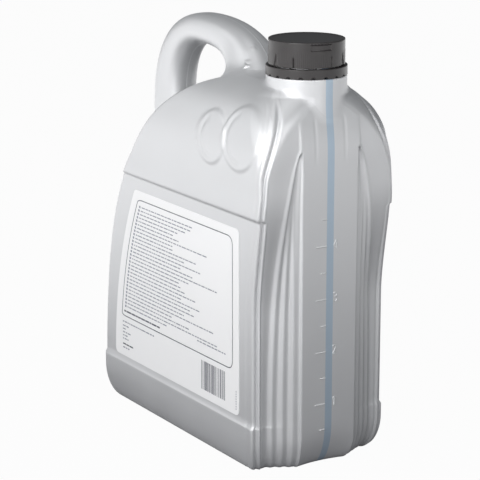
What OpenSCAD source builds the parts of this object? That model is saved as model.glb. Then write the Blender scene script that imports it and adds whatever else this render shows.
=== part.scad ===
// Five litre transmission fluid bottle: one blow-moulded bottle with a hollow grip,
// a screw cap with its sealing liner, a tamper band and a label.
// Units are millimetres. +X points to the front (the view stripe and the neck),
// the grip is at the back, the label is on the -Y side, +Z is up.
// The origin is at the middle of the base.

/* [Body] */
// Length of the body from the back of the base to the front panel
body_l = 245; // [220:1:280]
// Width of the body across the two flat side panels
body_w = 116; // [104:1:130]
// Thickness of the moulded wall
wall_t = 1.4; // [1.2:0.1:2]
// Height of the proud band round the base
band_h = 34.5; // [28:0.5:42]
// Radius of the rounding under the base
base_round = 17; // [12:1:20]
// How far the middle of the base is pushed up
push_up = 3; // [1.5:0.5:5]
// Height of the step line above the label recess
step_z = 191; // [175:1:198]
// Depth of the recess in each side panel
recess_d = 1.5; // [0.8:0.1:2.2]

/* [Shoulder] */
// Height where the sides start to lean in
dome_z = 215; // [208:1:222]
// Height of the top of the shoulder
shoulder_z = 281; // [274:1:284]
// Fullness of the shoulder seen from the front
dome_power = 2.8; // [2.2:0.1:3.4]
// How far the two rings on each side of the shoulder stand proud
ring_rise = 1; // [0.6:0.1:1.3]
// Distance from the front panel back to the crown of the side arch
arch_front = 60; // [52:1:70]

/* [Front] */
// Half width of the flat front panel
panel_half = 23.5; // [20:0.5:27]
// How far the front corners lie behind the front panel
flank_drop = 12.5; // [10:0.5:14]
// Depth of the flutes beside the front panel, in shares of the drawn depth
flute_depth = 1; // [0.5:0.05:1.15]
// Height of the tip of the fluted lancets
lancet_z = 238; // [225:1:245]
// Depth of the groove along each front corner
corner_groove_d = 2.2; // [1:0.1:2.5]

/* [Grip] */
// Half width of the grip across the bottle
grip_half = 14; // [12:0.5:17]
// Top of the grip
grip_top = 315; // [308:1:320]
// Height of the underside of the grip over the finger opening
grip_under = 292; // [284:1:295]
// Thickness of the back leg of the grip, front to back
grip_leg = 37; // [30:1:42]

/* [Neck] */
// Distance from the front panel back to the neck axis
neck_back = 32.5; // [31:0.5:38]
// Radius of the plain neck below the cap
neck_r = 29; // [28:0.25:30]
// Top of the plain neck, where the finish for the cap starts
neck_z = 287; // [285:0.5:289]
// Height of the cap finish above the plain neck
finish_h = 22.8; // [20:0.2:25]
// Outer radius of the cap finish
finish_r = 23.4; // [22:0.1:24]
// Radius of the pouring mouth
mouth_r = 20.5; // [18:0.5:21]

/* [Cap] */
// Outer radius of the cap
cap_r = 27.4; // [27:0.1:28]
// Thickness of the skirt of the cap
cap_wall = 1.6; // [1.2:0.1:1.8]
// Thickness of the top of the cap
cap_top_t = 1.8; // [1.4:0.1:2.4]
// Thickness of the sealing liner
liner_t = 1; // [0.8:0.1:1.6]
// Height of the tamper band
tamper_h = 7; // [6:0.25:8]
// How far the tamper band stands proud of the cap
tamper_proud = 1.8; // [1:0.1:2]

/* [Label] */
// Length of the label along the side panel at its foot
label_l = 186; // [150:1:190]
// Height of the label
label_h = 140; // [110:1:144]
// Thickness of the label
label_t = 0.3; // [0.2:0.05:0.5]

/* [Hidden] */
$fn = 64;
$inner = 0;

half_w = body_w / 2;
front_x = body_l / 2;
back_x = -body_l / 2;
neck_x = front_x - neck_back;

// The dome of the shoulder ends a little above its flat crown
dome_top = shoulder_z + 2;
dome_span = dome_top - dome_z;
// The front panel starts to lean back here
lean_z = dome_z + 17;
lean_run = 28;
lean_depth = 2.9;
// Front corners: tight on the body, wide on the dome
corner_round = 4;
corner_grow = 24;
corner_grow_z = dome_z - 10;
corner_grow_run = 60;
// The flank comes forward again above these heights
flank_low_z = 120;
flank_high_z = dome_z - 5;
flank_drop_high = 1.5;
// Fluted lancet: widest width along the flank and the height of its widest place
lancet_w = 24.6;
lancet_foot_z = 40;
lip_in = 3.4;
rib_s = 6;
// Where the corner groove lies along the flank, its half width, and how it nears the
// neck above the body
groove_low_s = 33.6;
groove_half = 2.7;
groove_margin = 1;
groove_lean = 0.3;
groove_curl = 0.001;
// Rear corners of the side panels
rear_round_low = 12;
rear_round_high = 3;
edge_back = 2;
// The spine leans forward by this much for each millimetre of height
spine_lean = 0.0425;
// The saddle between the grip and the arch: from the root of the back leg to the crown
saddle_low_z = 204;
saddle_high_z = 226;
saddle_bulge = 12;
// The base band stands proud of the front by this much
band_proud = 0.4;
step_run = 1;

function smooth(a, b, v) = let (u = max(0, min(1, (v - a) / (b - a)))) u * u * (3 - 2 * u);
function mix(a, b, t) = a + (b - a) * t;
function superarc(u, power) = pow(max(0, 1 - pow(max(0, min(1, u)), power)), 1 / power);

// Shape of the body at height z
function dome(z) = superarc((z - dome_z) / dome_span, dome_power);
// On the inside ($inner = 1) the recess starts lower and ends higher by a wall thickness
function recess(z) = let (m = $inner * wall_t)
    recess_d * smooth(band_h - m, band_h - m + step_run, z)
    * (1 - smooth(step_z + m - step_run, step_z + m, z));
// The side panels lie lower round the rings, by as much as the rings rise
function half_width(z) = half_w * dome(z) - recess(z)
    - ring_rise * smooth(step_z + 2, step_z + 20, z);
function front(z) = front_x - lean_depth * pow(max(0, (z - lean_z) / lean_run), 2)
    - band_proud * smooth(band_h, band_h + step_run, z);
function drop(z) = mix(flank_drop, flank_drop_high, smooth(flank_low_z, flank_high_z, z));
function corner_r(z) = min(half_width(z) - 4,
    corner_round + corner_grow * pow(max(0, (z - corner_grow_z) / corner_grow_run), 1.6));
function panel(z) = min(panel_half, half_width(z) - corner_r(z) - 2);
function arch(z) = superarc((z - band_h) / (dome_top + 0.5 - band_h), 2);
function side_back(z) = front_x - arch_front - (body_l - arch_front - edge_back) * arch(z);
function rear_r(z) = mix(rear_round_low, rear_round_high, smooth(60, step_z, z));
function spine(z) = back_x + max(0, z - band_h) * spine_lean;
function saddle(z) = side_back(z) - saddle_bulge * (1 - smooth(saddle_high_z, shoulder_z, z));
function back_mid(z) = mix(spine(z), saddle(z), smooth(saddle_low_z, saddle_high_z, z));

// The flank runs from the edge of the front panel to the corner, then round the corner arc.
// Its points are given by the distance s from the panel's edge.
function flank_dir(z) = let (v = [-drop(z), half_width(z) - panel(z)]) v / norm(v);
function flank_out(z) = let (t = flank_dir(z)) [t.y, -t.x];
function corner_c(z) = let (n = flank_out(z), r = corner_r(z), y = half_width(z) - r)
    [front(z) - (r + (y - panel(z)) * n.y) / n.x, y];
function flank_len(z) = let (c = corner_c(z), n = flank_out(z))
    (c + corner_r(z) * n - [front(z), panel(z)]) * flank_dir(z);
function corner_sweep(z) = 90 - atan2(flank_out(z).y, flank_out(z).x);
function edge_len(z) = flank_len(z) + corner_r(z) * corner_sweep(z) * PI / 180;
function edge_normal(z, s) = let (over = s - flank_len(z), n = flank_out(z))
    over <= 0 ? n : let (a = atan2(n.y, n.x) + over / corner_r(z) * 180 / PI) [cos(a), sin(a)];
function edge_point(z, s, depth) = let (n = edge_normal(z, s))
    (s <= flank_len(z)
        ? [front(z), panel(z)] + s * flank_dir(z)
        : corner_c(z) + corner_r(z) * n) - depth * n;

// Lancet beside the front panel: two ribs between the panel's edge and an outer lip, over
// the hollow flank. Each knot is [depth on the low body, depth on the shoulder].
function lancet_width(z) = max(1.5,
    lancet_w * superarc((z - lancet_foot_z) / (lancet_z - lancet_foot_z), 2));
function groove_s(z) = let (up = max(0, z - dome_z + 5))
    min(groove_low_s, edge_len(z) - groove_half - groove_margin) - groove_lean * up - groove_curl * up * up;
flute_knots = [[0, 0], [1.5, 1.4], [0.9, 2.2], [2.8, 2.2], [1.9, 2], [3.7, 1.5], [2.9, 0.3], [4.6, 0.9],
    [3.4, 0.6], [2.2, 0.3]];
// The inside is plain: it passes under the valleys between every second knot
hollow_knots = [[1, 1], [2.3, 2.4], [3.4, 2.4], [3.9, 1.5], [4.6, 1], [3.4, 0.6], [2.2, 0.3]];
function flute_places(z) = let (w = lancet_width(z), lip = max(w - lip_in, w * 0.7),
    rib = min(rib_s, lip / 2), middle = (rib + lip) / 2, far = groove_s(z) - groove_half - 2)
    $inner ? [0, rib, middle, lip, w, (w + far) / 2, far]
    : [0, rib / 3, rib, (rib + middle) / 2, middle, (middle + lip) / 2, lip, w, (w + far) / 2, far];
function flute_at(k, z) = let (knot = $inner ? hollow_knots[k] : flute_knots[k])
    flute_depth * mix(knot[0], knot[1], smooth(flank_low_z, flank_high_z, z))
    * ($inner ? smooth(lancet_z + 16, lancet_z + 2, z) : smooth(1.5, 6, lancet_width(z)));
// Groove along the corner
groove_profile = [[-1, 0], [-0.45, 0.7], [0, 1], [0.45, 0.7], [1, 0]];
hollow_groove = [[-1.15, 0.3], [0, 1.15], [1.15, 0.3]];
function groove_depth(z) = corner_groove_d * smooth(shoulder_z + 4, shoulder_z - 20, z);

function front_half(z) = let (places = flute_places(z), s = groove_s(z)) concat(
    [for (u = [0, 0.5, 0.95]) [front(z), u * panel(z)]],
    [for (k = [0 : len(places) - 1]) edge_point(z, places[k], flute_at(k, z))],
    [for (p = $inner ? hollow_groove : groove_profile)
        edge_point(z, s + p[0] * groove_half, p[1] * groove_depth(z))],
    [for (u = $inner ? [0.35, 0.7, 1] : [0.25, 0.5, 0.75, 1])
        edge_point(z, mix(s + groove_half, edge_len(z), u), 0)]);

function side_half(z) = let (a = corner_c(z).x, b = side_back(z) + rear_r(z))
    [for (u = [0.33, 0.67]) [mix(a, b, u), half_width(z)]];

function back_half(z) = let (r = rear_r(z), x = side_back(z), y = half_width(z) - r, m = back_mid(z))
    concat(
        [for (t = [0 : 30 : 90]) [x + r - r * sin(t), y + r * cos(t)]],
        [for (u = [0.85, 0.7, 0.56, 0.43, 0.3, 0.17, 0]) [mix(x, m, (1 + cos(180 * u)) / 2), u * y]]);

// Closed outline at height z, anticlockwise from the front centre
function outline(z) = let (h = concat(front_half(z), side_half(z), back_half(z)))
    concat(h, [for (i = [len(h) - 2 : -1 : 1]) [h[i].x, -h[i].y]]);

function ring(pts, z) = [for (p = pts) [p.x, p.y, z]];
function shrink(pts, inset) = [for (p = pts)
    [p.x * (1 - 2 * inset / body_l), p.y * (1 - 2 * inset / body_w)]];
// Every point of a closed outline moved inwards by d
function inset(pts, d) = let (n = len(pts)) [for (i = [0 : n - 1])
    let (t = pts[(i + 1) % n] - pts[(i + n - 1) % n]) pts[i] - d * [t.y, -t.x] / norm(t)];

// Closed solid through rings that run anticlockwise round its path
module loft(rings) {
    n = len(rings[0]);
    m = len(rings);
    function middle(r) = [for (p = r) 1] * r / len(r);
    sides = [for (k = [0 : m - 2], i = [0 : n - 1])
        let (a = k * n + i, b = k * n + (i + 1) % n)
        each [[a, a + n, b + n], [a, b + n, b]]];
    ends = [for (i = [0 : n - 1]) let (j = (i + 1) % n)
        each [[n * m, i, j], [n * m + 1, (m - 1) * n + j, (m - 1) * n + i]]];
    polyhedron(
        concat([for (r = rings) each r], [middle(rings[0]), middle(rings[m - 1])]),
        concat(sides, ends), convexity = 10);
}

base_levels = [0, 0.08, 0.3, 0.6, 1];
dome_steps = 11;
skin_levels = concat([26, band_h, band_h + step_run, 55, 80, 105, 125, 145, 162, 178,
    step_z - step_run, step_z, 198, 204, 210],
    [for (k = [0 : dome_steps]) dome_z + (shoulder_z - dome_z) * sin(90 * k / dome_steps)]);
function round_inset(u) = base_round * 0.7 * (1 - sqrt(1 - pow(1 - u, 2)));

module body_skin() {
    foot = outline(0);
    loft(concat(
        [ring(shrink(foot, base_round * 2), push_up), ring(shrink(foot, base_round * 1.4), 0)],
        [for (u = base_levels) ring(shrink(outline(u * base_round), round_inset(u)), u * base_round)],
        [for (z = skin_levels) ring(outline(z), z)]));
}

// Rings on both sides of the shoulder: raised discs with a rounded rim. Inside the rim a
// crescent groove runs along the rear half.
rings = [[front_x - 71, 240, 19.5], [front_x - 31.5, 243, 23]];
// Each step is [distance from the rim or, if last, from the middle, share of the rise]
ring_seat = 1.2;
ring_steps = [[1, -ring_seat / ring_rise], [0, 0.6], [-1.8, 1], [-5.2, 0.95], [-7.6, 0.9]];
crescent_step = 3;
ring_sides = 20;
crescent_share = 0.75;
crescent_turn = 20;
ring_core = 0.3;
function side_y(x, z) = let (c = corner_c(z), r = corner_r(z))
    x <= c.x ? half_width(z) : c.y + sqrt(max(0, pow(r, 2) - pow(x - c.x, 2)));
function ring_line(c, r, rise, crescent) = [for (k = [0 : ring_sides - 1])
    let (a = 360 * k / ring_sides, x = c[0] + r * cos(a), z = c[1] + r * sin(a),
        rear = pow(max(0, -cos(a - crescent_turn)), 0.6))
    [x, -side_y(x, z) - ring_rise * (rise - crescent * rear), z]];
module shoulder_ring(c) {
    loft(concat(
        [ring_line(c, ring_core * c[2], -ring_seat / ring_rise, 0)],
        [for (k = [0 : len(ring_steps) - 1]) ring_line(c, c[2] + ring_steps[k][0], ring_steps[k][1],
            k == crescent_step ? crescent_share : 0)],
        [ring_line(c, ring_core * c[2], 0.9, 0)]));
}

// Grip: an arch of rounded bars. Its outer and inner outlines in the side view are
// superellipse quarters that meet at the crest, and run down into the body at both ends.
grip_power = 2.25;
crest_x = front_x - 160;
leg_top_z = 232;
root_top_z = 272;
root_front_x = front_x - 76;
under_x = front_x - 163;
hole_back_z = 250;
hole_front_x = front_x - 124;
hole_front_z = 277;
function quarter(c, a, b, t) = c + [a * pow(abs(cos(t)), 2 / grip_power) * sign(cos(t)),
    b * pow(abs(sin(t)), 2 / grip_power)];
// Each station is [outer point, inner point, half width], in the side view
leg_z = [125, 160, 185, 208];
grip_angles = [180, 166, 150, 132, 112, 90, 68, 48, 30, 14, 0];
function grip_stations(d) = concat(
    [for (z = leg_z) [[spine(z) + 3 * smooth(leg_top_z, leg_z[0], z) + d, z],
        [spine(leg_top_z) + grip_leg + 4 * (leg_top_z - z) / leg_top_z - d, z], grip_half - d]],
    [for (t = grip_angles)
        let (b = t >= 90 ? crest_x - spine(leg_top_z) : root_front_x - crest_x,
            foot_z = t >= 90 ? leg_top_z : root_top_z,
            e = t >= 90 ? under_x - spine(leg_top_z) - grip_leg : hole_front_x - under_x,
            hole_z = t >= 90 ? hole_back_z : hole_front_z)
        [quarter([crest_x, foot_z], b - d, grip_top - foot_z - d, t),
            quarter([under_x, hole_z], e + d, grip_under - hole_z + d, t),
            mix(grip_half, grip_half + 4, smooth(60, 0, t)) - d]],
    [[[root_front_x - d, 258], [hole_front_x - 8 + d, 262], grip_half + 7 - d],
        [[root_front_x - d, 246], [hole_front_x - 14 + d, 246], grip_half + 9 - d]]);
function bar_ring(s, n) = let (c = (s[0] + s[1]) / 2, v = (s[0] - s[1]) / 2)
    [for (i = [0 : n - 1]) let (t = 360 * i / n,
        u = sign(cos(t)) * pow(abs(cos(t)), 0.75), w = sign(sin(t)) * pow(abs(sin(t)), 0.75))
        [c.x + v.x * u, -s[2] * w, c.y + v.y * u]];

module grip_skin() {
    loft([for (s = grip_stations(0)) bar_ring(s, 24)]);
}

module neck_skin() {
    translate([neck_x, 0, dome_z + 30])
        cylinder(r = neck_r, h = neck_z - dome_z - 30);
}

// Cap finish: tube with a bead that holds the tamper band, and a rounded rim
bead_z = neck_z + 3.6;
bead_h = 1.8;
bead_out = 1.8;
rim_z = neck_z + finish_h;
module cap_finish() {
    translate([neck_x, 0, 0])
        rotate_extrude()
            polygon([[mouth_r, neck_z - 2 * wall_t], [finish_r, neck_z - 2 * wall_t], [finish_r, bead_z],
                [finish_r + bead_out, bead_z + 0.4], [finish_r + bead_out, bead_z + bead_h - 0.9],
                [finish_r, bead_z + bead_h], [finish_r, rim_z - 0.6], [finish_r - 0.6, rim_z],
                [mouth_r + 0.6, rim_z], [mouth_r, rim_z - 0.6]]);
}

cavity_levels = [7, 13, 20, band_h - wall_t, band_h - wall_t + step_run, 70, 105, 135, 160, 180,
    step_z + wall_t - step_run, step_z + wall_t, 203, 207, 211, 215, 219, 223, 227];
// The inside follows the outside a wall thickness lower on the dome, and higher at the base
function look(z) = z + wall_t * (smooth(200, 230, z) - smooth(base_round + 9, 8, z));
module body_cavity() {
    $inner = 1;
    floor_z = push_up + wall_t;
    loft(concat(
        [ring(shrink(inset(outline(floor_z), wall_t), base_round), floor_z)],
        [for (z = cavity_levels) ring(shrink(inset(outline(look(z)), wall_t),
            z < base_round + wall_t ? round_inset((z - wall_t) / base_round) : 0), z)],
        [for (k = [2 : 8])
            let (z = dome_z + (shoulder_z - wall_t - dome_z) * sin(90 * k / 8))
            ring(inset(outline(look(z)), wall_t), z)]));
}

module grip_cavity() {
    loft([for (s = grip_stations(wall_t)) bar_ring(s, 16)]);
}

module neck_cavity() {
    translate([neck_x, 0, dome_z + 32]) {
        cylinder(r = neck_r - wall_t, h = neck_z - wall_t - dome_z - 32, $fn = 48);
        cylinder(r = (mouth_r + finish_r) / 2, h = finish_h + neck_z - dome_z, $fn = 48);
    }
}

module bottle() {
    color([0.70, 0.71, 0.73]) {
        resize([body_l, body_w, 0])
            difference() {
                union() {
                    body_skin();
                    grip_skin();
                    neck_skin();
                    for (c = rings) {
                        shoulder_ring(c);
                        mirror([0, 1, 0]) shoulder_ring(c);
                    }
                }
                body_cavity();
                grip_cavity();
                neck_cavity();
            }
        cap_finish();
    }
}

// Tamper band: sits on the top of the plain neck, with a lip under the bead
band_wall = 1.9;
lip_r = finish_r + 0.9;
lip_z = neck_z + 1.2;
lip_h = 1.4;
band_top = neck_z + tamper_h;
split = 0.7;
bridges = 9;
module tamper_band() {
    outer = cap_r + tamper_proud;
    color([0.17, 0.16, 0.16])
        translate([neck_x, 0, 0]) {
            rotate_extrude()
                polygon([[outer - band_wall, neck_z], [outer, neck_z], [outer, band_top - 0.8],
                    [outer - 0.8, band_top], [outer - band_wall - 1.4, band_top],
                    [outer - band_wall - 1.4, band_top - 1], [outer - band_wall, band_top - 2],
                    [outer - band_wall, lip_z + lip_h + 0.6], [lip_r, lip_z + lip_h], [lip_r, lip_z],
                    [outer - band_wall, lip_z]]);
            // Stubs of the thin bridges to the cap
            for (k = [0 : bridges - 1])
                rotate(360 * (k + 0.5) / bridges)
                    translate([cap_r - cap_wall, -0.6, band_top - 0.5])
                        cube([cap_wall, 1.2, 0.5 + split - 0.1]);
        }
}

// Sealing liner: a disc between the rim and the cap
gap = 0.1;
liner_z = rim_z + gap;
module cap_liner() {
    color([0.86, 0.86, 0.84])
        translate([neck_x, 0, liner_z])
            cylinder(r = cap_r - cap_wall - 0.6, h = liner_t);
}

// Cap: plain skirt with slots, recesses and shallow triangles round it
cap_foot = band_top + split;
cap_under = liner_z + liner_t + gap;
cap_top = cap_under + cap_top_t;
cap_edge = 1.2;
slot_w = 1.1;
slot_h = 6;
slots = 6;
slot_at = -54;
field_at = -11;
field_w = 16;
field_h = 4.2;
field_d = 0.7;
module cap() {
    color([0.17, 0.16, 0.16])
        translate([neck_x, 0, 0])
            difference() {
                rotate_extrude()
                    polygon([[cap_r - cap_wall, cap_foot], [cap_r, cap_foot], [cap_r, cap_top - cap_edge],
                        [cap_r - cap_edge * 0.3, cap_top - cap_edge * 0.3], [cap_r - cap_edge, cap_top],
                        [0, cap_top], [0, cap_under], [cap_r - cap_wall, cap_under]]);
                for (k = [0 : slots - 1])
                    rotate(slot_at + 360 * k / slots)
                        translate([cap_r - 1, -slot_w / 2, cap_foot - 1])
                            cube([2, slot_w, slot_h + 1]);
                for (k = [0 : 2])
                    rotate(field_at + 120 * k)
                        translate([sqrt(pow(cap_r, 2) - pow(field_w / 2, 2)) - field_d, -field_w / 2,
                            cap_top - cap_edge - 0.6 - field_h])
                            cube([6, field_w, field_h]);
            }
}

// Label on the -Y side panel, with its rear edge following the arch
label_front = front_x - 32.6;
label_foot = band_h + 5.4;
label_top = label_foot + label_h;
label_corner = 4;
label_gap = label_front - label_l - side_back(label_foot);
label_steps = 14;
module label() {
    face = half_width(label_foot + 10);
    color([0.96, 0.96, 0.95])
        translate([0, -face, 0])
            rotate([90, 0, 0])
                linear_extrude(label_t)
                    offset(r = label_corner, $fn = 24)
                        offset(delta = -label_corner)
                            polygon(concat([[label_front, label_foot], [label_front, label_top]],
                                [for (k = [label_steps : -1 : 0])
                                    let (z = mix(label_foot, label_top, k / label_steps))
                                        [side_back(z) + label_gap, z]]));
}

bottle();
tamper_band();
label();
cap_liner();
cap();
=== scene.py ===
"""Dresses the frame of a five litre transmission fluid bottle: the moulded skin with its
grip and neck, the view stripe with its scale, the label with its print, and the closure."""

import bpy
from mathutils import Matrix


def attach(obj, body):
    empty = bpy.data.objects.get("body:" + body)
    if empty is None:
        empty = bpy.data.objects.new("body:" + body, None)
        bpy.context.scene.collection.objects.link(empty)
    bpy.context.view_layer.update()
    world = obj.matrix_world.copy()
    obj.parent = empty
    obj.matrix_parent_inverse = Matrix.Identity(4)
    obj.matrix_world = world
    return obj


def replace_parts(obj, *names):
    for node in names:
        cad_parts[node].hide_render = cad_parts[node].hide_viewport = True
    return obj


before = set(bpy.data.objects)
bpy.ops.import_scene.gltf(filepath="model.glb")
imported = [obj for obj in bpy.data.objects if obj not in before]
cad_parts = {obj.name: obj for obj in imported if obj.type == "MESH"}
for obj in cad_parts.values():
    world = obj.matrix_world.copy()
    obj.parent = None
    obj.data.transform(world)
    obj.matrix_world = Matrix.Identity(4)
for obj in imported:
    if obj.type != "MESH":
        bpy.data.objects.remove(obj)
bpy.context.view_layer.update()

import math

import bpy
import numpy as np
from bpy.props import FloatProperty, FloatVectorProperty, IntProperty, PointerProperty
from bpy.types import Operator, Panel, PropertyGroup
from mathutils import Matrix, Vector

bl_info = {
    "name": "Transmission fluid bottle",
    "version": (1, 0, 0),
    "blender": (4, 5, 0),
    "location": "3D View > Sidebar > Bottle",
    "description": "Dresses a blow-moulded fluid bottle and its screw closure",
    "category": "Add Mesh",
}


def length(name, description, value_mm, low_mm=0.0):
    """A distance property, given in millimetres and kept in metres."""
    return FloatProperty(name=name, description=description, default=value_mm / 1000,
                         min=low_mm / 1000, subtype="DISTANCE", unit="LENGTH", precision=5)


def colour(name, description, value):
    """A colour property in linear red, green and blue."""
    return FloatVectorProperty(name=name, description=description, default=value,
                               min=0, max=1, size=3, subtype="COLOR")


class BodySizes(PropertyGroup):
    """Sizes of the moulded body."""

    body_l: length("Body length", "Back of the base to the front panel", 245)
    body_w: length("Body width", "Across the two side panels", 116)
    band_h: length("Band height", "Top of the proud band round the base", 34.5)
    base_round: length("Base rounding", "Height of the rounding under the base", 26)
    foot_in_x: length("Foot inset, lengthwise", "How far the foot lies inside the front", 13)
    foot_in_y: length("Foot inset, across", "How far the foot lies inside the sides", 8.6)
    foot_dent: length("Foot dent", "Hollow between the two front feet", 2.6)
    push_up: length("Push-up", "How far the middle of the base is raised", 3)
    step_z: length("Step height", "Step line above the label recess", 191)
    recess_d: length("Recess depth", "Depth of the label recess", 1.5)
    dome_z: length("Dome start", "Height where the sides start to lean in", 215)
    shoulder_z: length("Shoulder top", "Height of the crown of the shoulder", 281)
    arch_front: length("Arch front", "Front panel to the crown of the side arch", 60)
    panel_half: length("Panel half width", "Half width of the flat front panel", 23.5)
    panel_in: length("Panel setback", "How far the front lies inside the ticks' tops", 0.5)
    flank_drop: length("Flank drop", "How far the corners lie behind the panel", 12.5)
    lancet_w: length("Lancet width", "Widest width of the fluted lancets", 24.6)
    lancet_z: length("Lancet tip", "Height of the tip of the lancets", 238)
    groove_d: length("Corner groove depth", "Depth of the groove along the corner", 2.3)
    dip_d: length("Dip depth", "Depth of the dip beside the corner groove", 0.5)
    ledge_run: length("Ledge height", "Height of the bevel above the base band", 2.6)
    ring_rise: length("Ring rise", "How far the shoulder rings stand proud", 1)
    ring_dip: length("Ring dip", "Depth of the crescent inside each ring", 0.8)
    dome_power: FloatProperty(name="Dome fullness", description="Fullness of the shoulder",
                              default=2.8, min=2, max=4)
    rows_dome: IntProperty(name="Dome rows", description="Rows of faces up the dome",
                           default=76, min=20, max=120)


class GripSizes(PropertyGroup):
    """Sizes of the hollow carrying grip."""

    grip_half: length("Grip half width", "Half width of the grip across the bottle", 14)
    grip_top: length("Grip top", "Height of the crest of the grip", 315)
    grip_under: length("Grip underside", "Underside of the grip over the fingers", 292)
    grip_leg: length("Grip leg", "Thickness of the back leg, front to back", 37)
    root_blend: length("Root blend", "Reach of the fillet at the grip's roots", 13)


class NeckSizes(PropertyGroup):
    """Sizes of the neck, the closure and the threads."""

    neck_back: length("Neck setback", "Front panel back to the neck axis", 32.5)
    neck_r: length("Neck radius", "Radius of the plain neck", 29)
    neck_z: length("Neck top", "Top of the plain neck", 287)
    finish_h: length("Finish height", "Height of the threaded finish", 22.8)
    finish_r: length("Finish radius", "Outer radius of the threaded finish", 23.4)
    mouth_r: length("Mouth radius", "Radius of the pouring mouth", 20.5)
    neck_blend: length("Neck blend", "Reach of the fillet under the neck", 2.4)
    cap_r: length("Cap radius", "Outer radius of the cap", 27.4)
    cap_wall: length("Cap wall", "Thickness of the cap's skirt", 1.6)
    cap_top_t: length("Cap top", "Thickness of the cap's top", 1.8)
    liner_t: length("Liner", "Thickness of the sealing liner", 1)
    tamper_h: length("Band height", "Height of the tamper band", 7)
    tamper_proud: length("Band step", "How far the band stands proud of the cap", 1.8)
    pitch: length("Thread pitch", "Rise of the thread in one turn", 4)
    turns: FloatProperty(name="Thread turns", description="Turns of the thread",
                         default=2.4, min=1, max=4)


class MarkSizes(PropertyGroup):
    """Sizes of the view stripe, its scale and the label."""

    stripe_w: length("Stripe width", "Width of the clear view stripe", 5.5)
    litre_zero: length("Scale zero", "Height of the empty mark", 9.8)
    litre_step: length("Scale step", "Height of one litre on the scale", 39.4)
    tick_long: length("Long tick", "Length of a full litre tick", 9.6)
    tick_short: length("Short tick", "Length of a half litre tick", 5.2)
    tick_rise: length("Tick rise", "How far ticks and numerals stand proud", 0.52)
    label_front: length("Label front", "Front panel to the label's front edge", 32.6)
    label_l: length("Label length", "Length of the label along its foot", 186)
    label_h: length("Label height", "Height of the label", 140)
    label_lift: length("Label foot", "Foot of the label above the band", 5.4)
    label_t: length("Label thickness", "Thickness of the label", 0.3)
    frame_in: length("Frame inset", "Printed frame inside the label's edge", 9)
    line_pitch: length("Line pitch", "Distance between lines of small print", 2.95)


class Finishes(PropertyGroup):
    """Colours of the bottle's materials."""

    silver: colour("Silver", "Silver grey polyethylene", (0.62, 0.625, 0.635))
    stripe: colour("Stripe", "Clear view stripe", (0.43, 0.52, 0.61))
    black: colour("Black", "Black polypropylene of the closure", (0.026, 0.023, 0.023))
    liner: colour("Liner", "Foamed liner", (0.80, 0.80, 0.77))
    film: colour("Film", "White label film", (0.86, 0.86, 0.865))
    strokes: colour("Scale", "Raised litre scale", (0.56, 0.565, 0.575))
    ink: colour("Ink", "Dark print on the label", (0.045, 0.05, 0.075))
    fine_ink: colour("Fine ink", "Small print on the label", (0.20, 0.21, 0.26))


def sizes(group):
    """All lengths of a property group in millimetres, and its plain numbers as they are."""
    out = {}
    for key in group.__annotations__:
        value = getattr(group, key)
        plain = isinstance(value, int) or key in ("dome_power", "turns")
        out[key] = value if plain else value * 1000
    return type("Sizes", (), out)


# Curves


def smooth(a, b, v):
    """Smoothstep: 0 up to a, 1 from b on, and 3u^2 - 2u^3 between them."""
    u = np.clip((v - a) / (b - a), 0, 1)
    return u * u * (3 - 2 * u)


def superarc(u, power):
    """Quarter of a superellipse: (1 - u^power)^(1/power)."""
    return np.clip(1 - np.clip(u, 0, 1) ** power, 0, 1) ** (1 / power)


def bump(v, middle, half):
    """Bell: exp(-((v - middle) / half)^2)."""
    return np.exp(-(((v - middle) / half) ** 2))


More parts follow.
